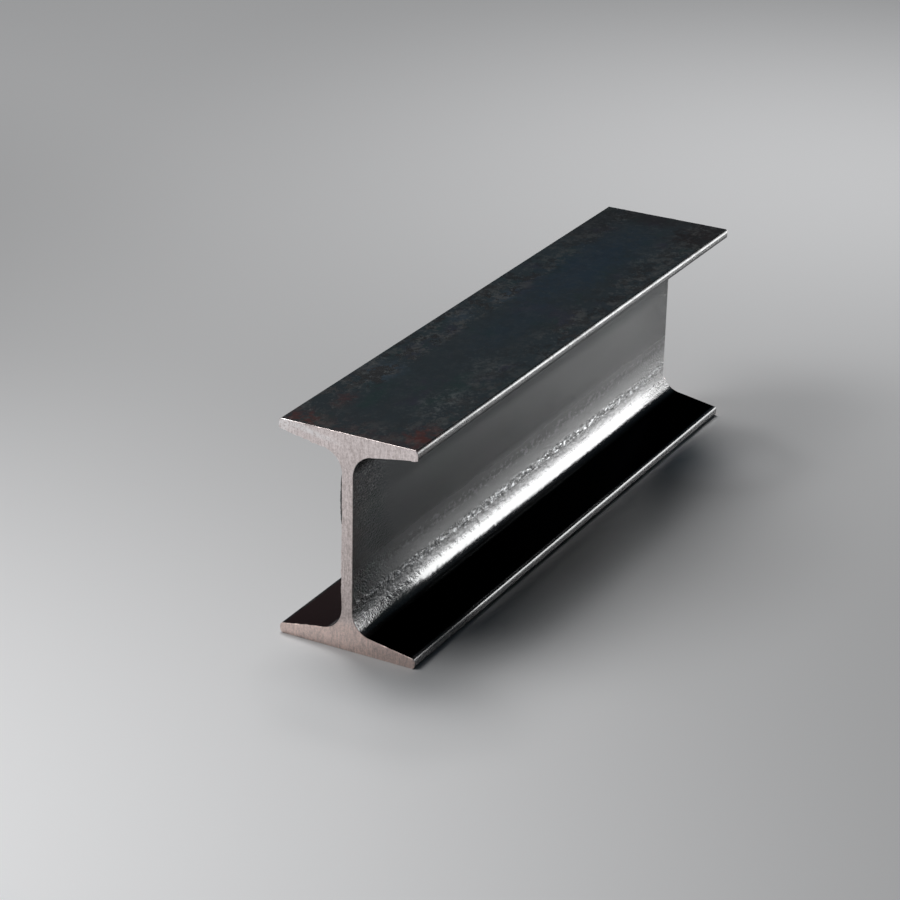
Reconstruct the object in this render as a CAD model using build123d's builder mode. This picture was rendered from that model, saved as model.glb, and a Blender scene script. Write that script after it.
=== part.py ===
# Short length of hot-rolled steel I-beam with tapered flanges, sawn square at both ends.
# It lies on its bottom flange: X is across the flanges, Y along the beam and Z up.
# The origin is the middle of its underside.

import os

from build123d import *

# Driving dimensions, in millimetres
length = 317.5
depth = 101.6
flange_width = 67.0
web_thickness = 5.3
flange_mean_thickness = 7.2
root_radius = 11.0
toe_radius = 1.5
edge_radius = 1.0

# A flange's inner face comes this much nearer to its outer face for each millimetre out from the web
flange_taper = 1 / 6

# The outstand is a flange's free reach beside the web, and halfway along it is the mean thickness
outstand = (flange_width - web_thickness) / 2
toe_thickness = flange_mean_thickness - flange_taper * outstand / 2
shoulder_thickness = flange_mean_thickness + flange_taper * outstand / 2

# The two radii of a toe share its thickness
toe_round = min(toe_radius, toe_thickness - edge_radius)

# Half sizes of the section, which is the same on both sides of its middle in both directions
half_depth = depth / 2
half_width = flange_width / 2
half_web = web_thickness / 2

# Cross-section plane through the middle of the beam: its x is across the flanges and its y is up
section_plane = Plane(origin=(0, 0, half_depth), x_dir=(1, 0, 0), z_dir=(0, -1, 0))

os.makedirs("parts", exist_ok=True)


# Rolled beam

with BuildPart() as i_beam:
    with BuildSketch(section_plane) as section:
        # A quarter of the outline, from the middle of the web round one half of the top flange
        with BuildLine():
            Polyline(
                (0, 0),
                (half_web, 0),
                (half_web, half_depth - shoulder_thickness),
                (half_width, half_depth - toe_thickness),
                (half_width, half_depth),
                (0, half_depth),
                close=True,
            )
        make_face()
        mirror(about=Plane.YZ)
        mirror(about=Plane.XZ)

        # The four fillets where the web runs into the flanges
        across = section.vertices().group_by(Axis.X)
        fillet(across[1] + across[-2], radius=root_radius)

        # The flange toes: their inner corners are rounded, and their outer corners only eased
        across = section.vertices().group_by(Axis.X)
        inner_corners = across[0].sort_by(Axis.Y)[1:-1] + across[-1].sort_by(Axis.Y)[1:-1]
        fillet(inner_corners, radius=toe_round)
        up = section.vertices().group_by(Axis.Y)
        fillet(up[0] + up[-1], radius=edge_radius)

    # Cut to length, equally to both ends
    extrude(amount=length / 2, both=True)

i_beam.part.label = "i_beam"
export_step(i_beam.part, "parts/i_beam.step")
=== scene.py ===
"""Hot-rolled steel I-beam, dressed with mill scale on its rolled faces and bare metal on its sawn ends."""

import math
from functools import reduce

import bpy
import numpy as np
from bpy.props import FloatProperty, FloatVectorProperty, PointerProperty
from mathutils import Matrix, Vector, noise
from mathutils.geometry import delaunay_2d_cdt


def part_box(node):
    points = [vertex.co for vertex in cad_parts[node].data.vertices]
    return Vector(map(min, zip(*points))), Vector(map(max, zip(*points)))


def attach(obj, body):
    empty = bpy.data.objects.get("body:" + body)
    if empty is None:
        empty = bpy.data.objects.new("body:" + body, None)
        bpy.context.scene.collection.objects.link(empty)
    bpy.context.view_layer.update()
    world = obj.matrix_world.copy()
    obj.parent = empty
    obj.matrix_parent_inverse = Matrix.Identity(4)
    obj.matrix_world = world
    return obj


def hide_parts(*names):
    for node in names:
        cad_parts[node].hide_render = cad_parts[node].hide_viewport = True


bl_info = {
    "name": "Rolled I-beam",
    "version": (1, 0, 0),
    "blender": (4, 5, 0),
    "location": "View3D > Sidebar > I-beam",
    "description": "Builds a sawn length of hot-rolled I-beam round its solid, with its finish and a studio",
    "category": "Object",
}

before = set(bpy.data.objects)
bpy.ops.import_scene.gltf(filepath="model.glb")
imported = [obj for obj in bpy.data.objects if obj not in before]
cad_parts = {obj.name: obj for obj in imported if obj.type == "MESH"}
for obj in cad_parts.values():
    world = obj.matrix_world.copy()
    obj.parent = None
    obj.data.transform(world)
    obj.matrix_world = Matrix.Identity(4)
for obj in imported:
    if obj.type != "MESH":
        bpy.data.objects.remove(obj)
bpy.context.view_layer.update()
NODE = "i_beam"
BODY = "root"
LOW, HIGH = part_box(NODE)

LENGTH = HIGH.y - LOW.y
DEPTH = HIGH.z - LOW.z
FLANGE_WIDTH = HIGH.x - LOW.x


# Settings

COLOUR = {"subtype": "COLOR", "size": 3}


class RolledSection(bpy.types.PropertyGroup):
    """Sizes of the rolled section that the solid's box doesn't give"""

    web: FloatProperty(
        name="Web thickness", description="Thickness of the upright web", default=0.0053, unit="LENGTH"
    )
    flange: FloatProperty(
        name="Mean flange thickness",
        description="Thickness of a flange halfway along its free reach",
        default=0.0072,
        unit="LENGTH",
    )
    taper: FloatProperty(
        name="Flange taper", description="Fall of a flange's inner face for each unit outwards", default=1 / 6
    )
    root_radius: FloatProperty(
        name="Root radius", description="Fillet between the web and a flange", default=0.011, unit="LENGTH"
    )
    toe_radius: FloatProperty(
        name="Toe radius", description="Rounding of a toe's inner corner", default=0.0015, unit="LENGTH"
    )
    crown_radius: FloatProperty(
        name="Crown radius", description="Swell of a toe below its outer corner", default=0.002, unit="LENGTH"
    )
    crown_angle: FloatProperty(
        name="Crown angle",
        description="How far the swell turns up at the outer corner",
        default=math.radians(58),
        unit="ROTATION",
    )
    edge_radius: FloatProperty(
        name="Edge radius", description="Rounding of a toe's outer corner", default=0.00025, unit="LENGTH"
    )
    spacing: FloatProperty(
        name="Mesh spacing", description="Distance between the mesh's rings", default=0.00125, unit="LENGTH"
    )
    rim: FloatProperty(
        name="Rim width", description="Width of the rim round a sawn end", default=0.00022, unit="LENGTH"
    )
    waviness: FloatProperty(
        name="Waviness", description="Depth of the long hollows", default=0.00004, unit="LENGTH"
    )


class ScaleFinish(bpy.types.PropertyGroup):
    """Colours and relief of the mill scale"""

    steel_blue: FloatVectorProperty(
        name="Steel blue", description="Smooth scale", default=(0.0205, 0.0265, 0.03), **COLOUR
    )
    deep_blue: FloatVectorProperty(
        name="Deep blue", description="Bluest scale", default=(0.015, 0.0245, 0.035), **COLOUR
    )
    pale_blue: FloatVectorProperty(
        name="Pale blue", description="Thin, lighter scale", default=(0.034, 0.047, 0.062), **COLOUR
    )
    teal: FloatVectorProperty(
        name="Teal", description="Greenest scale", default=(0.016, 0.0285, 0.0275), **COLOUR
    )
    violet: FloatVectorProperty(
        name="Violet", description="Warmest of the blues", default=(0.0245, 0.0235, 0.034), **COLOUR
    )
    brown: FloatVectorProperty(
        name="Brown", description="Far corners", default=(0.0165, 0.0125, 0.012), **COLOUR
    )
    umber: FloatVectorProperty(
        name="Umber", description="Darkest speckles", default=(0.0035, 0.003, 0.0032), **COLOUR
    )
    ash: FloatVectorProperty(
        name="Ash", description="Light grey speckles", default=(0.06, 0.06, 0.058), **COLOUR
    )
    rust: FloatVectorProperty(
        name="Rust", description="Reddish scale beside the cuts", default=(0.058, 0.02, 0.017), **COLOUR
    )
    fleck: FloatVectorProperty(
        name="Fleck", description="Lightest scratches and flecks", default=(0.085, 0.092, 0.092), **COLOUR
    )
    # Partly painted highlight: bright bare metal on the pebbles' tops stands in for their glints
    rubbed_glint: FloatVectorProperty(
        name="Rubbed glint", description="Bare tops of the pebbles", default=(0.62, 0.63, 0.64), **COLOUR
    )
    # Painted shade: the inner faces right of the web are near black because they lie in shade
    painted_shade: FloatVectorProperty(
        name="Painted shade", description="Inner faces, right of web", default=(0.0016, 0.0019, 0.0024), **COLOUR
    )
    burnt: FloatVectorProperty(
        name="Burnt brown", description="Inner faces, left of web", default=(0.0273, 0.013, 0.01248), **COLOUR
    )
    grain: FloatProperty(
        name="Grain height", description="Height of the pebbled grain", default=0.0016, unit="LENGTH"
    )


class SawnFinish(bpy.types.PropertyGroup):
    """Colours and relief of the sawn ends"""

    # The sawn tone runs between these two with the saw marks, and with painted light that makes an end
    # lighter towards the top
    fresh_and_lit: FloatVectorProperty(
        name="Fresh metal", description="Lightest sawn metal", default=(1.0, 0.9, 0.88), **COLOUR
    )
    dull_and_shaded: FloatVectorProperty(
        name="Dull metal", description="Darkest sawn metal", default=(0.46, 0.39, 0.37), **COLOUR
    )
    # Partly painted light: the foot is lifted against the shaded floor that it mirrors
    foot: FloatVectorProperty(
        name="Foot", description="Sawn metal of the bottom flange", default=(1.0, 0.8, 0.73), **COLOUR
    )
    torn: FloatVectorProperty(
        name="Torn metal", description="Bright streak of torn metal", default=(1.0, 0.96, 0.95), **COLOUR
    )
    line: FloatProperty(
        name="Saw mark width", description="Width of the finest saw marks", default=0.0007, unit="LENGTH"
    )


class StudioSettings(bpy.types.PropertyGroup):
    """Floor, lamps and camera"""

    floor: FloatVectorProperty(
        name="Floor", description="Colour of the floor", default=(0.505, 0.503, 0.505), **COLOUR
    )
    azimuth: FloatProperty(
        name="Azimuth", description="Heading of the camera", default=math.radians(28.22), unit="ROTATION"
    )
    elevation: FloatProperty(
        name="Elevation", description="Height of the camera", default=math.radians(24.146), unit="ROTATION"
    )
    roll: FloatProperty(
        name="Roll", description="Lean of the camera", default=math.radians(-1.221), unit="ROTATION"
    )
    distance: FloatProperty(
        name="Distance", description="From the aim point to the camera", default=1.29268, unit="LENGTH"
    )
    aim: FloatVectorProperty(
        name="Aim point",
        description="Point in the middle of the picture",
        default=(-0.02537, -0.02129, 0.03571),
        subtype="XYZ",
        size=3,
        unit="LENGTH",
    )
    lens: FloatProperty(name="Lens", description="Focal length in millimetres", default=110.45)
    overhead: FloatProperty(
        name="Overhead lamp", description="Power of the large softbox above", default=34.0, unit="POWER"
    )
    edge: FloatProperty(
        name="Edge lamp", description="Power of the low softbox behind", default=5.05, unit="POWER"
    )
    front: FloatProperty(
        name="Front lamp", description="Power of the softbox in front", default=3.5, unit="POWER"
    )
    fill: FloatProperty(name="Fill", description="Strength of the even surroundings", default=0.03)


# Outline of the section

# Fewest steps of an arc, and the steps along flats, fillets and corners beside the spacing of the rings
FEWEST_STEPS = 6
FLAT_STEP = 1.7
FILLET_STEP = 0.7
CORNER_PARTS = 3
RIGHT_ANGLE = math.pi / 2


def straight(start, end, spacing):
    """Points from start up to, but not including, end."""
    count = max(1, round((Vector(end) - Vector(start)).length / spacing))
    return [Vector(start).lerp(Vector(end), step / count) for step in range(count)]


def arc(centre, radius, first, last, spacing):
    """Points along an arc from the first angle up to, but not including, the last."""
    count = max(FEWEST_STEPS, round(abs(last - first) * radius / spacing))
    angles = [first + (last - first) * step / count for step in range(count)]
    return [Vector((centre[0] + radius * math.cos(a), centre[1] + radius * math.sin(a))) for a in angles]


def quarter_outline(section):
    """From the middle of the top face round the right toe and down to the middle of the web."""
    top, side, web = DEPTH / 2, FLANGE_WIDTH / 2, section.web / 2
    slope = math.atan(section.taper)
    shoulder = top - section.flange - section.taper * (side - web) / 2
    round_toe, root = section.toe_radius, section.root_radius
    edge, crown, turn = section.edge_radius, section.crown_radius, section.crown_angle

    # Each arc touches the tapered face, which is the line at this height above the centre
    def face(across):
        return shoulder + section.taper * (across - web)

    lift = math.sqrt(1 + section.taper**2)
    toe_centre = (side - round_toe, face(side - round_toe) + round_toe * lift)
    root_centre = (web + root, face(web + root) - root * lift)
    toe_end = (toe_centre[0] + round_toe * math.sin(slope), toe_centre[1] - round_toe * math.cos(slope))
    root_end = (root_centre[0] - root * math.sin(slope), root_centre[1] + root * math.cos(slope))
    wide, fine = section.spacing * FLAT_STEP, section.spacing / CORNER_PARTS

    # The swell runs from upright into the small rounding of the outer corner
    crown_centre = (side - crown, top - edge - (crown - edge) * math.sin(turn))
    corner = crown_centre[0] + (crown - edge) * math.cos(turn)
    points = straight((0, top), (corner, top), wide)
    points += arc((corner, top - edge), edge, RIGHT_ANGLE, turn, fine)
    points += arc(crown_centre, crown, turn, 0, fine)
    points += straight((side, crown_centre[1]), (side, toe_centre[1]), fine)
    points += arc(toe_centre, round_toe, 0, slope - RIGHT_ANGLE, fine)
    points += straight(toe_end, root_end, wide)
    points += arc(root_centre, root, RIGHT_ANGLE + slope, math.pi, section.spacing * FILLET_STEP)
    points += straight((web, root_centre[1]), (web, 0), wide)
    return points


def full_outline(section):
    """The whole outline, clockwise from the middle of the top face, with z measured from the floor."""
    quarter = quarter_outline(section)
    web_middle = Vector((section.web / 2, 0))
    lower = [Vector((p.x, -p.y)) for p in reversed(quarter)]
    right = quarter + [web_middle] + lower
    left = [Vector((-p.x, p.y)) for p in reversed(right[1:-1])]
    return [Vector((p.x, p.y + DEPTH / 2)) for p in right + left]


def outward_normals(outline):
    """Unit normals of a clockwise outline."""
    count = len(outline)
    normals = []
    for k in range(count):
        along = (outline[(k + 1) % count] - outline[k - 1]).normalized()
        normals.append(Vector((-along.y, along.x)))
    return normals


# Mesh of the beam

# Long hollows in the rolled faces: frequency across and along the beam, and share of the depth
HOLLOWS = ((30, 14, 1.0), (90, 40, 0.5))

# Width of the rim beside its setting: mean, wander, least and most, with the frequency and size of its waves
RIM_MEAN = 0.55
RIM_WANDER = 0.8
RIM_LEAST = 0.12
RIM_MOST = 1.6
RIM_WAVES = ((260, 1.0), (900, 1.0))
NEAR_SEED = 3.7
FAR_SEED = 9.1

# Grid inside a sawn face: its step in ring spacings, and how far it stays from the outline in rim widths
GRID_STEP = 1.1
GRID_CLEARANCE = 2.2
KEEP_INSIDE = 1
SAME_PLACE = 1e-7


def hollow(x, y, z, depth):
    """How far the rolled face lies inside its true place, from zero to the given depth."""
    wave = 0.0
    for across, along, part in HOLLOWS:
        wave += part * noise.noise(Vector((x * across, y * along, z * across)))
    return depth * min(1.0, max(0.0, 0.5 + 0.5 * wave))


def unevenness(point, seed, waves):
    """The sum of smooth waves of some frequencies and sizes at a point of the section."""
    return sum(size * noise.noise(Vector((point.x * often, seed, point.y * often))) for often, size in waves)


def stations(section):
    """Places along the beam of the mesh's rings, between the two rims."""
    first = LOW.y + section.rim
    last = HIGH.y - section.rim
    count = round((last - first) / section.spacing)
    return [first + (last - first) * step / count for step in range(count + 1)]


def ring(section, outline, normals, y):
    """One ring of the rolled skin."""
    points = []
    for p, n in zip(outline, normals):
        place = p - n * hollow(p.x, y, p.y, section.waviness)
        points.append((place.x, y, place.y))
    return points


def rim_ring(section, outline, normals, y, seed):
    """The outline of a sawn face, which lies inside the rolled skin by the uneven width of its rim."""
    points = []
    for p, n in zip(outline, normals):
        width = RIM_MEAN + RIM_WANDER * unevenness(p, seed, RIM_WAVES)
        place = p - n * section.rim * min(RIM_MOST, max(RIM_LEAST, width))
        points.append((place.x, y, place.y))
    return points


def face_points(section, outline):
    """Points of a regular grid that lie well inside the outline."""
    step = section.spacing * GRID_STEP
    edge = section.rim * GRID_CLEARANCE
    loop = np.array([tuple(p) for p in outline])
    nxt = np.roll(loop, -1, axis=0)
    inside = []
    for i in range(int(FLANGE_WIDTH / step) + 1):
        for j in range(int(DEPTH / step) + 1):
            x, z = LOW.x + i * step, LOW.z + j * step
            crosses = (loop[:, 1] > z) != (nxt[:, 1] > z)
            with np.errstate(divide="ignore", invalid="ignore"):
                at = loop[:, 0] + (z - loop[:, 1]) * (nxt[:, 0] - loop[:, 0]) / (nxt[:, 1] - loop[:, 1])
            clearance = np.hypot(loop[:, 0] - x, loop[:, 1] - z).min()
            if np.count_nonzero(crosses & (at > x)) % 2 and clearance > edge:
                inside.append(Vector((x, z)))
    return inside


def add_face(verts, faces, section, rim, rim_first, y, outward):
    """Fills one sawn end inside its rim, which is already among the vertices."""
    loop = [Vector((p[0], p[2])) for p in rim]
    count = len(loop)
    inner = face_points(section, loop)
    edges = [(k, (k + 1) % count) for k in range(count)]
    points, _, triangles, origin, _, _ = delaunay_2d_cdt(loop + inner, edges, [], KEEP_INSIDE, SAME_PLACE)
    index = []
    for place, sources in zip(points, origin):
        on_rim = [s for s in sources if s < count]
        if on_rim:
            index.append(rim_first + on_rim[0])
        else:
            index.append(len(verts))
            verts.append((place.x, y, place.y))
    for triangle in triangles:
        corners = [index[k] for k in triangle]
        a, b, c = (Vector((verts[k][0], verts[k][2])) for k in corners)
        turns_left = (b - a).cross(c - a) > 0
        # Counter-clockwise about the outward direction, seen with x to the right and z up
        faces.append(corners if turns_left == (outward < 0) else corners[::-1])


def build_beam_mesh(section):
    """The skin as rings along the beam, a rim at each end and the two sawn faces."""
    outline = full_outline(section)
    normals = outward_normals(outline)
    count = len(outline)
    near = rim_ring(section, outline, normals, LOW.y, NEAR_SEED)
    far = rim_ring(section, outline, normals, HIGH.y, FAR_SEED)
    rings = [near] + [ring(section, outline, normals, y) for y in stations(section)] + [far]
    verts = [p for points in rings for p in points]
    faces = []
    for r in range(len(rings) - 1):
        for k in range(count):
            a, b = r * count + k, r * count + (k + 1) % count
            faces.append((a, b, b + count, a + count))
    skin_faces = len(faces)
    add_face(verts, faces, section, near, 0, LOW.y, -1)
    add_face(verts, faces, section, far, (len(rings) - 1) * count, HIGH.y, 1)
    mesh = bpy.data.meshes.new("rolled_beam")
    mesh.from_pydata(verts, [], faces)
    rim_rows = (0, len(rings) - 2)
    for number, polygon in enumerate(mesh.polygons):
        sawn = number >= skin_faces or number // count in rim_rows
        polygon.material_index = int(sawn)
        polygon.use_smooth = not sawn
    for edge in mesh.edges:
        rows = {vertex // count for vertex in edge.vertices}
        edge.use_edge_sharp = rows == {1} or rows == {len(rings) - 2}
    mesh.validate()
    mesh.update()
    return mesh


# Burrs

# Each burr of the saw round the near end follows a stretch of the outline taken clockwise: where it
# starts, where it ends, how far it stands out, and whether scale still covers it
BURRS = (
    ((0.0334, 0.0985), (0.0312, 0.0967), 0.0011, False),
    ((-0.0300, 0.0050), (-0.0120, 0.0080), 0.0005, False),
    ((-0.0032, 0.0230), (-0.00265, 0.0560), 0.0005, False),
    ((-0.00265, 0.0590), (-0.00265, 0.0820), 0.0010, True),
    ((-0.0060, 0.0905), (-0.0310, 0.0965), 0.0006, False),
)
BURR_STEP = 0.0004

# Height of a burr beside its reach: how it swells from its ends, its mean, its waves and its least
BURR_SWELL = 0.6
BURR_MEAN = 0.45
BURR_WAVES = ((500, 0.8), (1500, 0.4))
BURR_LEAST = 0.08

# A burr that scale covers is higher and evener
COVERED_MEAN = 0.6
COVERED_WANDER = 0.3

# In rim widths: depth of a burr's roots in the steel, and distance of its front, tip and back from the cut
ROOT_DEPTH = 1.5
FRONT, TIP, BACK = 0.2, 0.6, 3.5


def stretch_of(outline, start, end, spacing):
    """Evenly spaced points and outward normals, clockwise between the outline's points nearest both ends."""
    count = len(outline)

    def nearest(place):
        return min(range(count), key=lambda k: (outline[k] - Vector(place)).length)

    first, last = nearest(start), nearest(end)
    run = [outline[(first + k) % count] for k in range((last - first) % count + 1)]
    fine = [q for a, b in zip(run, run[1:]) for q in straight(a, b, spacing)] + [run[-1]]
    result = []
    for k, point in enumerate(fine):
        along = (fine[min(k + 1, len(fine) - 1)] - fine[max(k - 1, 0)]).normalized()
        result.append((point, Vector((-along.y, along.x))))
    return result


def build_burr_mesh(section):
    """Thin, ragged fins whose roots lie inside the steel."""
    outline = full_outline(section)
    half_width = FLANGE_WIDTH / 2
    front, crest, back = (LOW.y + section.rim * part for part in (FRONT, TIP, BACK))
    verts, faces, scaly = [], [], []
    for seed, (start, end, reach, covered) in enumerate(BURRS):
        points = stretch_of(outline, start, end, BURR_STEP)
        first = len(verts)
        for k, (p, n) in enumerate(points):
            swell = math.sin(math.pi * k / (len(points) - 1)) ** BURR_SWELL
            height = BURR_MEAN + unevenness(p, seed, BURR_WAVES)
            if covered:
                height = COVERED_MEAN + COVERED_WANDER * height
            root = p - n * section.rim * ROOT_DEPTH
            tip = p + n * reach * swell * max(BURR_LEAST, height)
            tip.x = min(half_width, max(-half_width, tip.x))
            verts += [(root.x, front, root.y), (tip.x, crest, tip.y), (root.x, back, root.y)]
        for k in range(len(points) - 1):
            a = first + k * 3
            faces += [(a, a + 1, a + 4, a + 3), (a + 1, a + 2, a + 5, a + 4), (a + 2, a, a + 3, a + 5)]
        last = len(verts) - 3
        faces += [(first, first + 2, first + 1), (last, last + 1, last + 2)]
        scaly += [covered] * (len(faces) - len(scaly))
    mesh = bpy.data.meshes.new("saw_burrs")
    mesh.from_pydata(verts, [], faces)
    mesh.polygons.foreach_set("material_index", [int(covered) for covered in scaly])
    mesh.validate()
    mesh.update()
    return mesh


# Shader helpers. A zone is a pair of values between which something changes.
FULL = (0.0, 1.0)


def add_node(tree, kind, inputs=None, **settings):
    """A shader node with its settings, and its inputs set to values or linked to sockets."""
    node = tree.nodes.new(kind)
    for name, value in settings.items():
        setattr(node, name, value)
    for name, value in (inputs or {}).items():
        socket = node.inputs[name]
        if isinstance(value, bpy.types.NodeSocket):
            tree.links.new(value, socket)
        else:
            socket.default_value = value
    return node


def calc(tree, operation, first, second=0.0):
    """The result of a math node."""
    return add_node(tree, "ShaderNodeMath", {0: first, 1: second}, operation=operation).outputs[0]


def total(tree, *values):
    """The sum of several values."""
    return reduce(lambda first, second: calc(tree, "ADD", first, second), values)


def share(tree, *values):
    """The product of several values."""
    return reduce(lambda first, second: calc(tree, "MULTIPLY", first, second), values)


def most(tree, *values):
    """The largest of several values."""
    return reduce(lambda first, second: calc(tree, "MAXIMUM", first, second), values)


def rest(tree, value):
    """What is left of one."""
    return calc(tree, "SUBTRACT", 1.0, value)


def rise(tree, value, zone, low=0.0, high=1.0, smooth=True):
    """Goes from low to high while value crosses the zone, and is level on both sides of it."""
    kind = "SMOOTHSTEP" if smooth else "LINEAR"
    inputs = {"Value": value, "From Min": zone[0], "From Max": zone[1], "To Min": low, "To Max": high}
    return add_node(tree, "ShaderNodeMapRange", inputs, interpolation_type=kind).outputs["Result"]


def fall(tree, value, zone, high=1.0, low=0.0, smooth=True):
    """Goes from high to low while value crosses the zone, and is level on both sides of it."""
    return rise(tree, value, zone, high, low, smooth)


def bands(tree, value, rows):
    """The largest of several soft bands, each given by its middle, half width, softness and strength."""
    masks = []
    for middle, half_width, softness, strength in rows:
        away = calc(tree, "ABSOLUTE", calc(tree, "SUBTRACT", value, middle))
        masks.append(share(tree, fall(tree, away, (half_width, half_width + softness)), strength))
    return most(tree, *masks)


def cloud(tree, vector, scale, detail, roughness=0.5, seed=None):
    """Noise at that many lumps to the metre."""
    inputs = {"Vector": vector, "Scale": scale, "Detail": detail, "Roughness": roughness}
    if seed is None:
        return add_node(tree, "ShaderNodeTexNoise", inputs).outputs[0]
    return add_node(tree, "ShaderNodeTexNoise", {**inputs, "W": seed}, noise_dimensions="4D").outputs[0]


def blend(tree, mask, first, second):
    """Colour mixed from first to second by a mask."""
    node = add_node(tree, "ShaderNodeMix", {0: mask}, data_type="RGBA", clamp_factor=True)
    for number, value in ((6, first), (7, second)):
        if isinstance(value, bpy.types.NodeSocket):
            tree.links.new(value, node.inputs[number])
        else:
            node.inputs[number].default_value = (*value, 1.0)
    return node.outputs[2]


def vector_math(tree, operation, first, second=(0.0, 0.0, 0.0), output="Vector"):
    """The result of a vector math node."""
    node = add_node(tree, "ShaderNodeVectorMath", {0: first, 1: second}, operation=operation)
    return node.outputs[output]


def drawn_out(tree, position, stretch):
    """The position, shortened along the beam so that a pattern over it is drawn out."""
    x, y, z = add_node(tree, "ShaderNodeSeparateXYZ", {0: position}).outputs
    along = calc(tree, "DIVIDE", y, stretch)
    return add_node(tree, "ShaderNodeCombineXYZ", {0: x, 1: along, 2: z}).outputs[0]


def new_group(name, inputs, output):
    """A shader node group with a position, its named inputs and one output, and its two end nodes."""
    tree = bpy.data.node_groups.new(name, "ShaderNodeTree")
    tree.interface.new_socket(name="Position", in_out="INPUT", socket_type="NodeSocketVector")
    for label, value in inputs.items():
        kind = "NodeSocketVector" if value is None else "NodeSocketFloat"
        socket = tree.interface.new_socket(name=label, in_out="INPUT", socket_type=kind)
        if value is not None:
            socket.default_value = value
    tree.interface.new_socket(name=output, in_out="OUTPUT", socket_type="NodeSocketFloat")
    return tree, tree.nodes.new("NodeGroupInput").outputs, tree.nodes.new("NodeGroupOutput").inputs


def use_group(tree, group, inputs):
    """What a group puts out for these inputs."""
    return add_node(tree, "ShaderNodeGroup", inputs, node_tree=group).outputs[0]


def patches_group():
    """Irregular patches of a given size, stretched along the beam, as a mask."""
    defaults = {"Size": 0.01, "Stretch": 1.0, "Ragged": 0.6, "From": 0.45, "To": 0.6, "Seed": 0.0}
    tree, start, end = new_group("Patches", defaults, "Mask")
    where = drawn_out(tree, start["Position"], start["Stretch"])
    frequency = calc(tree, "DIVIDE", 1.0, start["Size"])
    pattern = cloud(tree, where, frequency, 4.0, start["Ragged"], start["Seed"])
    tree.links.new(rise(tree, pattern, (start["From"], start["To"])), end["Mask"])
    return tree


# A spot fades between these shares of its reach, after ripples have moved its outline
SPOT_EDGE = (0.15, 1.3)
SPOT_RIPPLES = 260.0
SPOT_WANDER = 4.0


def spot_group():
    """One soft patch with a wandering outline, round a place and with its own reach in each direction."""
    tree, start, end = new_group("Spot", {"Place": None, "Reach": None, "Wander": 0.5}, "Mask")
    offset = vector_math(tree, "SUBTRACT", start["Position"], start["Place"])
    scaled = vector_math(tree, "DIVIDE", offset, start["Reach"])
    away = vector_math(tree, "LENGTH", scaled, output="Value")
    ripple = calc(tree, "SUBTRACT", cloud(tree, start["Position"], SPOT_RIPPLES, 4.0, 0.65), 0.5)
    wandered = total(tree, away, share(tree, ripple, start["Wander"], SPOT_WANDER))
    tree.links.new(fall(tree, wandered, SPOT_EDGE), end["Mask"])
    return tree


# Finer lumps on the pebbles: how many to each, how high beside it, and the level about which both stand
FINE_LUMPS = 3.0
FINE_HEIGHT = 0.2
GRAIN_LEVEL = 0.6


def grain_group():
    """Height of the pebbled grain that the rolls leave: coarse where the strength is one, fine elsewhere."""
    tree, start, end = new_group("Roll grain", {"Strength": 1.0, "Pebble": 0.003, "Stretch": 1.0}, "Height")
    frequency = calc(tree, "DIVIDE", 1.0, start["Pebble"])
    drawn = drawn_out(tree, start["Position"], start["Stretch"])
    fine = cloud(tree, drawn, share(tree, frequency, FINE_LUMPS), 2.0)
    pebbles = total(tree, cloud(tree, drawn, frequency, 2.0), share(tree, fine, FINE_HEIGHT))
    height = share(tree, calc(tree, "SUBTRACT", pebbles, GRAIN_LEVEL), start["Strength"])
    tree.links.new(height, end["Height"])
    return tree


def new_material(name):
    """A material with its node tree, Principled shader and object position."""
    material = bpy.data.materials.new(name)
    material.use_nodes = True
    tree = material.node_tree
    shader = next(n for n in tree.nodes if n.type == "BSDF_PRINCIPLED")
    position = tree.nodes.new("ShaderNodeTexCoord").outputs["Object"]
    return material, tree, shader, position


# Mill scale

# Zones across the beam, measured from its middle on either side
WEB_SIDE = (0.01, 0.014)
OUTSTAND_FOOT = (0.0072, 0.011)
OUTSTAND_END = (0.0312, 0.0322)
TOE = (0.0318, 0.0328)
TOE_END = (0.0322, 0.0328)

# Zones across the beam, from left to right
LEFT_OF_WEB = (-0.002, 0.002)
LEFT_MOTTLING = (-0.018, -0.012)
RIGHT_MOTTLING = (0.008, 0.024)

TOP_EDGE = (0.0295, 0.0315)

# Zones by the distance from a flange's outer face: where its inner side starts, and the foot of the web
OUTER_FACE = (0.001, 0.003)
# Painted shade along the right toe's outer corner reaches this far from the outer face
SHADED_BROW = (0.0006, 0.001)
WEB_FOOT = (0.0095, 0.0125)
LOW_HALF = (DEPTH * 0.4, DEPTH * 0.5)

# Strength of the mottling: to the right, to the left, where it thins along the beam, and by the near cut
RIGHT_STRENGTH = 0.75
LEFT_THINS = ((0.17, 0.26), 1.0, 0.55)
BY_CUT = ((0.0, 0.03), 0.8)

# Strength of speckles on plain and on mottled scale
DARK_SPECKLES = (0.16, 1.0)
LIGHT_SPECKLES = (0.1, 0.75)
FINE_SPECKLES = (0.12, 0.6)

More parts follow.
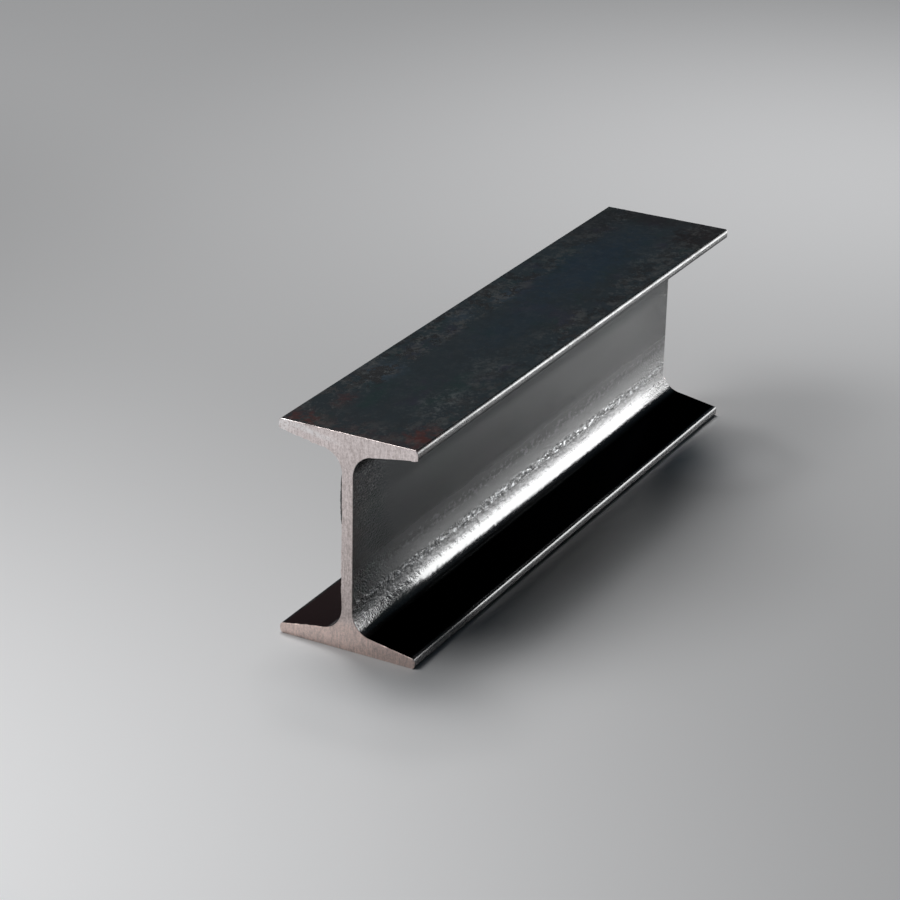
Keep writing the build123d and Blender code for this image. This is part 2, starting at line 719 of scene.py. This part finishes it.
# Places on the top face where the scale has its own tint: across, from the near end, reach in both directions
# and strength
PALE_SPOTS = (
    (-0.021, 0.066, 0.009, 0.013, 0.9),
    (-0.024, 0.141, 0.006, 0.010, 0.5),
    (-0.018, 0.177, 0.005, 0.014, 0.6),
)
RUST_SPOTS = (
    (-0.024, 0.004, 0.012, 0.011, 0.9),
    (-0.020, 0.030, 0.006, 0.009, 0.55),
    (0.028, 0.011, 0.009, 0.016, 1.0),
)
FLECK_SPOTS = (
    (0.018, 0.049, 0.011, 0.020, 0.8),
    (0.015, 0.095, 0.010, 0.019, 0.5),
    (0.016, 0.259, 0.008, 0.020, 0.45),
)
BROWN_SPOTS = (
    (0.026, 0.302, 0.016, 0.026, 1.0),
    (-0.028, 0.300, 0.016, 0.040, 0.5),
    (-0.006, 0.312, 0.030, 0.014, 0.7),
)
DEEP_SPOTS = ((-0.004, 0.232, 0.018, 0.07, 1.0), (0.002, 0.15, 0.012, 0.05, 0.5))
SPOT_DEPTH = 0.006

# Bands along the beam: middle above the floor or inside the flange, half width, softness and strength
PEBBLED_BANDS = (
    (0.0213, 0.0014, 0.0018, 0.55),
    (0.0330, 0.0014, 0.0018, 0.07),
    (0.0170, 0.0022, 0.0026, 0.25),
    (0.0120, 0.0020, 0.0020, 0.04),
)
# Rubbed bands: bare metal on the pebbles' tops, partly painted highlight
RUBBED_GLINT_BANDS = (
    (0.0211, 0.0013, 0.0016, 0.90),
    (0.0165, 0.0010, 0.0030, 0.22),
    (0.0330, 0.0016, 0.0022, 0.26),
)
# Toe lines: painted shade along the right toes, which dims their reflection
TOE_SHADE_LINES = ((0.097, 0.0007, 0.0012, 0.9), (0.0041, 0.0004, 0.0006, 0.4))

# Slow swells of the web above the fillet: heights between which each falls, and how far. They are lower by
# the near end, and the toes have one of their own.
SWELLS = (((0.0110, 0.0330), 3.3), ((0.0280, 0.0410), 0.5))
SWELL_BY_CUT = ((0.0, 0.06), 0.4, 1.0)
TOE_SWELL = ((0.0985, 0.102), 0.38)

# Painted shade on the inner sides, which dims their reflection: zone along the beam, strength at its near and
# far end, whether it thins softly, zone of heights in which it grows, and its share below that
PAINTED_SHADE = (
    ((0.0, 0.27), 0.90, 0.20, False, (0.028, 0.050), 0.30),
    ((0.14, 0.32), 1.0, 0.6, False, (0.056, 0.068), 0.0),
    ((0.0, 0.04), 0.9, 0.0, True, (0.011, 0.019), 0.28),
)
# Less painted shade on the toes: zone of heights, and the share it loses below and above that zone
LESS_SHADE_ON_TOES = ((0.03, 0.07), 0.05, 0.55)

# Share of its mirroring that scale under the fullest painted shade loses
PAINTED_SHADE_SHARE = 0.65

# Grain: size and stretch of its lumps, and the distances from a sawn end between which it fades
PEBBLES = (0.0021, 1.6)
SPECKS = (0.0009, 1.3)
BY_END = (0.004, 0.045)
PLAIN_GRAIN = 0.012

# Roughness in the middle of a face, and in the glow, which starts and ends at these heights
SMOOTHEST = (0.14, 0.17)
GLOW_STARTS = (0.0128, 0.0168)
GLOW_ENDS = (0.029, 0.048)
GLOW = 0.22

# How strongly scale mirrors, straight on and at a slant
SCALE_IOR = 3.5
SCALE_TINT = (0.5, 0.5, 0.5, 1.0)


class Skin:
    """Where a point of the rolled skin lies, as sockets of its material's tree"""

    def __init__(self, tree, position, patches, spot):
        self.tree, self.position, self.patches, self.spot = tree, position, patches, spot
        self.x, y, self.z = add_node(tree, "ShaderNodeSeparateXYZ", {0: position}).outputs
        self.across = calc(tree, "ABSOLUTE", self.x)
        self.from_near = calc(tree, "SUBTRACT", y, LOW.y)
        self.from_flange = calc(tree, "MINIMUM", self.z, calc(tree, "SUBTRACT", DEPTH, self.z))
        self.to_end = calc(tree, "SUBTRACT", LENGTH / 2, calc(tree, "ABSOLUTE", y))
        self.left = fall(tree, self.x, LEFT_OF_WEB)
        self.outer_face = fall(tree, self.from_flange, OUTER_FACE)
        self.inner_face = rest(tree, self.outer_face)
        self.on_web = share(tree, fall(tree, self.across, WEB_SIDE), self.inner_face)
        reach = share(tree, rise(tree, self.across, OUTSTAND_FOOT), fall(tree, self.across, OUTSTAND_END))
        self.outstand = share(tree, reach, self.inner_face)

    def patch(self, **inputs):
        """The mask of irregular patches."""
        return use_group(self.tree, self.patches, {"Position": self.position, **inputs})

    def placed(self, spots):
        """The mask of several spots on the top face."""
        masks = []
        for across, along, wide, far, strength in spots:
            inputs = {
                "Position": self.position,
                "Place": (across, LOW.y + along, HIGH.z),
                "Reach": (wide, far, SPOT_DEPTH),
            }
            masks.append(share(self.tree, use_group(self.tree, self.spot, inputs), strength))
        return most(self.tree, *masks)


def mottling(skin, by_cut):
    """How strongly the scale is mottled: most beside the long edges and the near cut."""
    tree = skin.tree
    right = share(tree, rise(tree, skin.x, RIGHT_MOTTLING), RIGHT_STRENGTH)
    left = share(tree, fall(tree, skin.x, LEFT_MOTTLING), fall(tree, skin.from_near, *LEFT_THINS))
    drift = skin.patch(Size=0.022, Stretch=2.2, From=0.36, To=0.58, Seed=3.0)
    return most(tree, share(tree, total(tree, left, right), rise(tree, drift, FULL, 0.55, 1.0)), by_cut)


def scale_colour(skin, finish, clouds, mottled, dark, by_cut):
    """Drifts of hue in the middle of a face, and light and dark mottling beside its edges."""
    tree = skin.tree
    tone = blend(tree, clouds, [c * 1.1 for c in finish.steel_blue], [c * 0.86 for c in finish.steel_blue])
    teal = share(tree, skin.patch(Size=0.016, Stretch=2.0, From=0.5, To=0.66, Seed=11.0), 0.8)
    violet = share(tree, skin.patch(Size=0.014, Stretch=1.6, From=0.54, To=0.68, Seed=12.0), 0.7)
    light = skin.patch(Size=0.007, Stretch=1.3, Ragged=0.8, From=0.48, To=0.6, Seed=7.0)
    light = share(tree, light, rise(tree, mottled, FULL, *LIGHT_SPECKLES))
    strands = skin.patch(Size=0.0042, Ragged=0.85, From=0.46, To=0.62, Seed=5.0)
    strands = share(tree, skin.placed(FLECK_SPOTS), strands, 0.85)
    fine = skin.patch(Size=0.0024, Ragged=0.7, From=0.55, To=0.68, Seed=9.0)
    fine = share(tree, fine, rise(tree, mottled, FULL, *FINE_SPECKLES))
    rusty = most(tree, skin.placed(RUST_SPOTS), share(tree, by_cut, by_cut, 0.5))
    reddish = skin.patch(Size=0.005, Ragged=0.75, From=0.38, To=0.6, Seed=6.0)
    layers = (
        (teal, finish.teal),
        (violet, finish.violet),
        (skin.placed(DEEP_SPOTS), finish.deep_blue),
        (skin.placed(PALE_SPOTS), finish.pale_blue),
        (skin.placed(BROWN_SPOTS), finish.brown),
        (light, finish.ash),
        (strands, finish.fleck),
        (dark, finish.umber),
        (fine, finish.fleck),
        (share(tree, rusty, rise(tree, reddish, FULL, 0.15, 1.0)), finish.rust),
        # Painted shade: near black on the inner faces right of the web, burnt brown left of it
        (skin.outstand, blend(tree, skin.left, finish.painted_shade, finish.burnt)),
    )
    for mask, colour in layers:
        tone = blend(tree, mask, tone, colour)
    return tone


def painted_shade_metal(skin):
    """Painted shade that dims the skin's reflection: along the inner sides, most by the near end, and on the
    right toes.
    """
    tree = skin.tree
    masks = []
    for along, near, far, soft, upright, low in PAINTED_SHADE:
        thinned = fall(tree, skin.from_near, along, near, far, soft)
        masks.append(share(tree, thinned, rise(tree, skin.z, upright, low)))
    less_shade = share(tree, rise(tree, skin.across, TOE), rise(tree, skin.z, *LESS_SHADE_ON_TOES))
    inner = share(tree, most(tree, *masks), rest(tree, less_shade), skin.inner_face)
    # Painted shade in lines along the right toe, which dims its highlight
    lines = most(tree, fall(tree, skin.from_flange, SHADED_BROW), bands(tree, skin.z, TOE_SHADE_LINES))
    lines = share(tree, rise(tree, skin.x, TOE_END), lines)
    return most(tree, skin.outstand, share(tree, inner, PAINTED_SHADE_SHARE), share(tree, lines, PAINTED_SHADE_SHARE))


def rubbed_glint_tops(skin):
    """Bare metal on the tops of the pebbles, and in flecks on the web by the near end: partly painted
    highlight that stands in for their glints.
    """
    tree = skin.tree
    tops = share(
        tree,
        bands(tree, skin.z, RUBBED_GLINT_BANDS),
        rise(tree, skin.from_near, (0.0, 0.11), 0.35, 1.0),
        fall(tree, skin.from_near, (0.26, 0.31), 1.0, 0.55),
        skin.patch(Size=0.0021, Stretch=1.7, Ragged=0.55, From=0.5, To=0.6, Seed=21.0),
        rest(tree, share(tree, skin.left, 0.65)),
    )
    flecks = share(
        tree,
        fall(tree, skin.from_near, (0.014, 0.04), 0.22),
        rise(tree, skin.z, (0.035, 0.075)),
        skin.patch(Size=0.0011, Ragged=0.55, From=0.54, To=0.61, Seed=22.0),
    )
    return share(tree, most(tree, tops, flecks), skin.on_web)


def scale_relief(skin, grain, mottled):
    """Height of the pebbled bands along the foot of the web, the faint grain elsewhere and slow swells."""
    tree = skin.tree
    by_end = share(tree, fall(tree, skin.to_end, BY_END, 0.22), rise(tree, skin.from_flange, WEB_FOOT))
    pebbled = share(tree, bands(tree, skin.from_flange, PEBBLED_BANDS), fall(tree, skin.z, LOW_HALF))
    pebbled = share(tree, most(tree, pebbled, share(tree, by_end, 0.2)), skin.on_web)
    rolled = share(tree, skin.outer_face, rise(tree, mottled, FULL, 0.005, 0.04))
    rolled = share(tree, rolled, fall(tree, skin.across, TOP_EDGE))
    specked = total(tree, share(tree, total(tree, by_end, PLAIN_GRAIN), skin.on_web), rolled)
    heights = []
    for strength, (size, stretch) in ((pebbled, PEBBLES), (specked, SPECKS)):
        inputs = {"Position": skin.position, "Strength": strength, "Pebble": size, "Stretch": stretch}
        heights.append(use_group(tree, grain, inputs))
    swells = total(tree, *(fall(tree, skin.z, zone, height) for zone, height in SWELLS))
    heights.append(share(tree, swells, rise(tree, skin.from_near, *SWELL_BY_CUT)))
    heights.append(share(tree, fall(tree, skin.z, *TOE_SWELL), rise(tree, skin.across, TOE_END)))
    return total(tree, *heights)


def scale_roughness(skin, clouds, dark):
    """Roughness: least in the middle of a face, most in the glow above the fillet."""
    tree = skin.tree
    upright = share(tree, skin.inner_face, rise(tree, skin.from_flange, (0.0125, 0.015)), 0.01)
    glow = share(tree, rise(tree, skin.z, GLOW_STARTS), fall(tree, skin.z, GLOW_ENDS), skin.inner_face)
    return total(
        tree,
        rise(tree, clouds, FULL, *SMOOTHEST),
        upright,
        share(tree, glow, GLOW),
        share(tree, dark, skin.outer_face, 0.1),
        share(tree, rise(tree, skin.across, TOE), 0.1),
        share(tree, skin.outstand, 0.05),
    )


def mill_scale(finish, patches, spot, grain):
    """Dark oxide skin: blue-grey and smooth in the middle of a face, brown and speckled beside its edges."""
    material, tree, shader, position = new_material("mill_scale")
    skin = Skin(tree, position, patches, spot)
    by_cut = fall(tree, skin.from_near, *BY_CUT)
    mottled = mottling(skin, by_cut)
    clouds = skin.patch(Size=0.035, Stretch=1.8, From=0.38, To=0.64, Seed=1.0)
    dark = skin.patch(Size=0.0085, Stretch=1.3, Ragged=0.82, From=0.5, To=0.56, Seed=2.0)
    dark = share(tree, dark, rise(tree, mottled, FULL, *DARK_SPECKLES))
    tops = rubbed_glint_tops(skin)
    tone = blend(tree, tops, scale_colour(skin, finish, clouds, mottled, dark, by_cut), finish.rubbed_glint)
    tree.links.new(tone, shader.inputs["Base Color"])

    # Painted shade counts as dark metal, which mirrors less than scale does, and the rubbed tops are bright
    # metal, partly a painted highlight
    metal = share(tree, most(tree, painted_shade_metal(skin), tops), rest(tree, share(tree, skin.left, 0.5)))
    tree.links.new(metal, shader.inputs["Metallic"])
    tree.links.new(scale_roughness(skin, clouds, dark), shader.inputs["Roughness"])
    relief = {"Height": scale_relief(skin, grain, mottled), "Distance": finish.grain, "Strength": 1.0}
    tree.links.new(add_node(tree, "ShaderNodeBump", relief).outputs[0], shader.inputs["Normal"])
    shader.inputs["IOR"].default_value = SCALE_IOR
    shader.inputs["Specular Tint"].default_value = SCALE_TINT
    return material


# Sawn steel

# Saw marks are drawn out upright by this squeeze of the height, and the wide ones are this rare beside the
# fine. Grit has so many lumps to the metre.
MARK_SQUEEZE = (1.0, 1.0, 0.18)
WIDE_MARKS = 0.2
GRIT = 1100.0
MARK_DEPTH = 0.00012
MARK_MEAN = 0.35

# The bottom flange's face, which is pinker and carries painted light against the shaded floor it mirrors, and
# the thin dark rim along the top
FOOT = (0.01, 0.018)
TOP_RIM = (DEPTH - 0.0005, DEPTH - 0.0002)
RIM_TONE = (0.25, 0.21, 0.2)

# Torn metal in the left half of the top flange's near end: place across, height on the slant, and reach
TORN = ((-0.0225, 0.0958, (0.019, 0.01, 0.0017)), (-0.0335, 0.0945, (0.008, 0.01, 0.006)))
TORN_SLANT = 0.17
TORN_WANDER = 0.3


def sawn_steel(finish, patches, spot):
    """Bare grey steel with upright saw marks, pinkish, with painted light that makes an end lighter towards
    the top and lifts its foot.
    """
    material, tree, shader, position = new_material("sawn_steel")
    x, y, z = add_node(tree, "ShaderNodeSeparateXYZ", {0: position}).outputs
    squeezed = vector_math(tree, "MULTIPLY", position, MARK_SQUEEZE)
    lines = cloud(tree, squeezed, 1 / finish.line, 3.0, 0.65)
    wide_lines = cloud(tree, squeezed, WIDE_MARKS / finish.line, 2.0)
    grit = cloud(tree, position, GRIT, 3.0, 0.7)
    inputs = {"Position": position, "Size": 0.009, "Ragged": 0.7, "From": 0.3, "To": 0.7}
    mottle = use_group(tree, patches, inputs)
    foot = fall(tree, z, FOOT)
    # Painted light: an end is lighter towards the top, and its foot is lifted against the shaded floor it
    # mirrors
    lightness = share(tree, total(tree, rise(tree, z, (0.0, DEPTH), smooth=False), foot), 0.55)
    for mask, part in (
        (rise(tree, lines, (0.36, 0.64)), 0.32),
        (rise(tree, wide_lines, (0.35, 0.65)), 0.12),
        (rise(tree, grit, (0.35, 0.65)), 0.34),
        (mottle, 0.15),
    ):
        lightness = total(tree, lightness, share(tree, calc(tree, "SUBTRACT", mask, MARK_MEAN), part))
    tone = blend(tree, lightness, finish.dull_and_shaded, blend(tree, foot, finish.fresh_and_lit, finish.foot))
    tone = blend(tree, rise(tree, z, TOP_RIM, 0.0, 0.6), tone, RIM_TONE)

    slant = total(tree, z, share(tree, x, TORN_SLANT))
    leaning = add_node(tree, "ShaderNodeCombineXYZ", {0: x, 1: y, 2: slant}).outputs[0]
    masks = []
    for across, height, reach in TORN:
        place = (across, LOW.y, height)
        inputs = {"Position": leaning, "Place": place, "Reach": reach, "Wander": TORN_WANDER}
        masks.append(use_group(tree, spot, inputs))
    torn = share(tree, most(tree, *masks), rise(tree, grit, (0.36, 0.56), 0.25, 1.0))
    tree.links.new(blend(tree, torn, tone, finish.torn), shader.inputs["Base Color"])
    relief = {"Height": total(tree, lines, share(tree, grit, 0.6)), "Distance": MARK_DEPTH, "Strength": 1.0}
    tree.links.new(add_node(tree, "ShaderNodeBump", relief).outputs[0], shader.inputs["Normal"])
    tree.links.new(rise(tree, mottle, FULL, 0.3, 0.4), shader.inputs["Roughness"])
    shader.inputs["Metallic"].default_value = 1.0
    return material


# Pieces


def add_object(name, data):
    """An object in the scene."""
    item = bpy.data.objects.new(name, data)
    bpy.context.scene.collection.objects.link(item)
    return item


class IBEAM_OT_rolled_beam(bpy.types.Operator):
    """Builds the dressed beam in place of its solid"""

    bl_idname = "ibeam.rolled_beam"
    bl_label = "Rolled beam"

    def execute(self, context):
        scene = context.scene
        mesh = build_beam_mesh(scene.ibeam_section)
        patches, spot, grain = patches_group(), spot_group(), grain_group()
        mesh.materials.append(mill_scale(scene.ibeam_scale, patches, spot, grain))
        mesh.materials.append(sawn_steel(scene.ibeam_sawn, patches, spot))
        beam = add_object("rolled_beam", mesh)
        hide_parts(NODE)
        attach(beam, BODY)
        return {"FINISHED"}


class IBEAM_OT_saw_burrs(bpy.types.Operator):
    """Adds the burrs round the near end"""

    bl_idname = "ibeam.saw_burrs"
    bl_label = "Saw burrs"

    def execute(self, context):
        mesh = build_burr_mesh(context.scene.ibeam_section)
        for name in ("sawn_steel", "mill_scale"):
            mesh.materials.append(bpy.data.materials[name])
        burrs = add_object("saw_burrs", mesh)
        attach(burrs, BODY)
        return {"FINISHED"}


# Stage

# Painted light and shade on the floor, where it is lighter or darker than its plain colour: across, along,
# reach in both and change
FLOOR_LIGHT_AND_SHADE = (
    (-0.142, -0.582, 0.691, 0.691, 1.10),
    (0.022, 0.623, 0.608, 0.608, 0.76),
    (-0.699, 0.0, 0.491, 0.491, -0.42),
    (0.040, -0.035, 0.040, 0.160, -0.70),
    (0.090, -0.010, 0.090, 0.130, -0.20),
    (0.048, 0.108, 0.050, 0.042, 0.70),
    (0.035, -0.188, 0.060, 0.040, 0.40),
)
FLOOR_SIZE = 12.0
FLOOR_LIMIT = (0.9, 0.9, 0.92)
FLOOR_ROUGHNESS = 0.3
FLOOR_GLOSS = 0.22
SURROUNDINGS = (0.55, 0.78, 1.0, 1.0)

# Softboxes: setting of the power, azimuth, elevation, distance, width and height
SOFTBOXES = (
    ("overhead", -47, 64, 2.3, 1.1, 1.1),
    ("edge", 30.5, 13.5, 1.05, 0.42, 0.50),
    ("front", 228, 50, 1.0, 0.5, 0.4),
)

# Camera: width of its sensor in millimetres, and nearest and farthest distance that it sees
SENSOR = 36.0
SIGHT = (0.01, 100)


def add_floor(colour):
    """The flat square that the beam lies on."""
    half = FLOOR_SIZE / 2
    corners = [(-half, -half, 0), (half, -half, 0), (half, half, 0), (-half, half, 0)]
    mesh = bpy.data.meshes.new("floor")
    mesh.from_pydata(corners, [], [(0, 1, 2, 3)])
    mesh.materials.append(floor_material(colour))
    floor = add_object("floor", mesh)


def facing(place, target):
    """A matrix at place whose -z axis points to target."""
    turn = (Vector(target) - Vector(place)).to_track_quat("-Z", "Y")
    return Matrix.Translation(place) @ turn.to_matrix().to_4x4()


def add_softbox(name, place, target, width, height, power):
    """A rectangular area lamp, which the camera doesn't see."""
    light = bpy.data.lights.new(name, "AREA")
    light.shape = "RECTANGLE"
    light.size, light.size_y = width, height
    light.energy = power
    lamp = add_object(name, light)
    lamp.matrix_world = facing(place, target)
    lamp.visible_camera = False
    return lamp


def around(azimuth, elevation, distance):
    """A point seen from the beam's middle in that direction; azimuth 0 is along +Y and grows towards +X."""
    flat = distance * math.cos(elevation)
    return Vector((flat * math.sin(azimuth), flat * math.cos(azimuth), distance * math.sin(elevation)))


def floor_material(colour):
    """Matt floor with painted light and shade: softly lighter in front and behind, darker to the left, with a
    painted shadow beside the beam and painted light by its ends.
    """
    material, tree, shader, position = new_material("studio_floor")
    level = 1.0
    for across, along, wide, long, change in FLOOR_LIGHT_AND_SHADE:
        scaled = vector_math(tree, "MULTIPLY", position, (1 / wide, 1 / long, 0.0))
        away = vector_math(tree, "DISTANCE", scaled, (across / wide, along / long, 0.0), "Value")
        level = total(tree, fall(tree, away, FULL, change), level)
    inputs = {0: tuple(colour), "Scale": level}
    lit = add_node(tree, "ShaderNodeVectorMath", inputs, operation="SCALE").outputs[0]
    tree.links.new(vector_math(tree, "MINIMUM", lit, FLOOR_LIMIT), shader.inputs["Base Color"])
    shader.inputs["Roughness"].default_value = FLOOR_ROUGHNESS
    shader.inputs["Specular IOR Level"].default_value = FLOOR_GLOSS
    return material


def build_world(scene, strength):
    """Dim, even surroundings, which the floor hides from the camera."""
    world = bpy.data.worlds.new("studio")
    scene.world = world
    world.use_nodes = True
    background = world.node_tree.nodes["Background"]
    background.inputs["Color"].default_value = SURROUNDINGS
    background.inputs["Strength"].default_value = strength


def build_camera(scene, studio):
    """Camera at the picture's angle."""
    data = bpy.data.cameras.new("camera")
    data.lens = studio.lens
    data.sensor_width = SENSOR
    data.clip_start, data.clip_end = SIGHT
    camera = add_object("camera", data)
    ahead = Vector(
        (
            -math.sin(studio.azimuth) * math.cos(studio.elevation),
            math.cos(studio.azimuth) * math.cos(studio.elevation),
            -math.sin(studio.elevation),
        )
    )
    place = Vector(studio.aim) - ahead * studio.distance
    lean = Matrix.Rotation(-studio.roll, 4, "Z")
    camera.matrix_world = facing(place, place + ahead) @ lean
    scene.camera = camera


class IBEAM_OT_studio(bpy.types.Operator):
    """Sets up the pale floor, the lamps and the camera"""

    bl_idname = "ibeam.studio"
    bl_label = "Studio"

    def execute(self, context):
        scene = context.scene
        studio = scene.ibeam_studio
        scene.view_settings.view_transform = "Standard"
        build_world(scene, studio.fill)
        add_floor(studio.floor)
        middle = Vector((0, 0, DEPTH / 2))
        for name, azimuth, elevation, distance, width, height in SOFTBOXES:
            place = middle + around(math.radians(azimuth), math.radians(elevation), distance)
            lamp = add_softbox(name, place, middle, width, height, getattr(studio, name))
            # The edge lamp only shows in the steel's gloss, so the shadow beside the beam stays dark
            lamp.visible_diffuse = name != "edge"
        build_camera(scene, studio)
        return {"FINISHED"}


class IBEAM_PT_sidebar(bpy.types.Panel):
    """Sidebar panel with the beam's sizes, finishes and builders"""

    bl_idname = "IBEAM_PT_sidebar"
    bl_label = "I-beam"
    bl_space_type = "VIEW_3D"
    bl_region_type = "UI"
    bl_category = "I-beam"

    def draw(self, context):
        layout = self.layout
        for operator in OPERATORS:
            layout.operator(operator.bl_idname)
        for name in SETTINGS:
            group = getattr(context.scene, name)
            box = layout.box()
            for key in group.bl_rna.properties.keys():
                if key not in ("rna_type", "name"):
                    box.prop(group, key)


OPERATORS = (IBEAM_OT_rolled_beam, IBEAM_OT_saw_burrs, IBEAM_OT_studio)
SETTINGS = {
    "ibeam_section": RolledSection,
    "ibeam_scale": ScaleFinish,
    "ibeam_sawn": SawnFinish,
    "ibeam_studio": StudioSettings,
}


def register():
    for group in SETTINGS.values():
        bpy.utils.register_class(group)
    for name, group in SETTINGS.items():
        setattr(bpy.types.Scene, name, PointerProperty(type=group))
    for item in (*OPERATORS, IBEAM_PT_sidebar):
        bpy.utils.register_class(item)


def unregister():
    for item in reversed((*OPERATORS, IBEAM_PT_sidebar)):
        bpy.utils.unregister_class(item)
    for name in SETTINGS:
        delattr(bpy.types.Scene, name)
    for group in reversed(tuple(SETTINGS.values())):
        bpy.utils.unregister_class(group)


def main():
    register()
    bpy.ops.ibeam.rolled_beam()
    bpy.ops.ibeam.saw_burrs()
    bpy.ops.ibeam.studio()


if __name__ == "__main__":
    main()
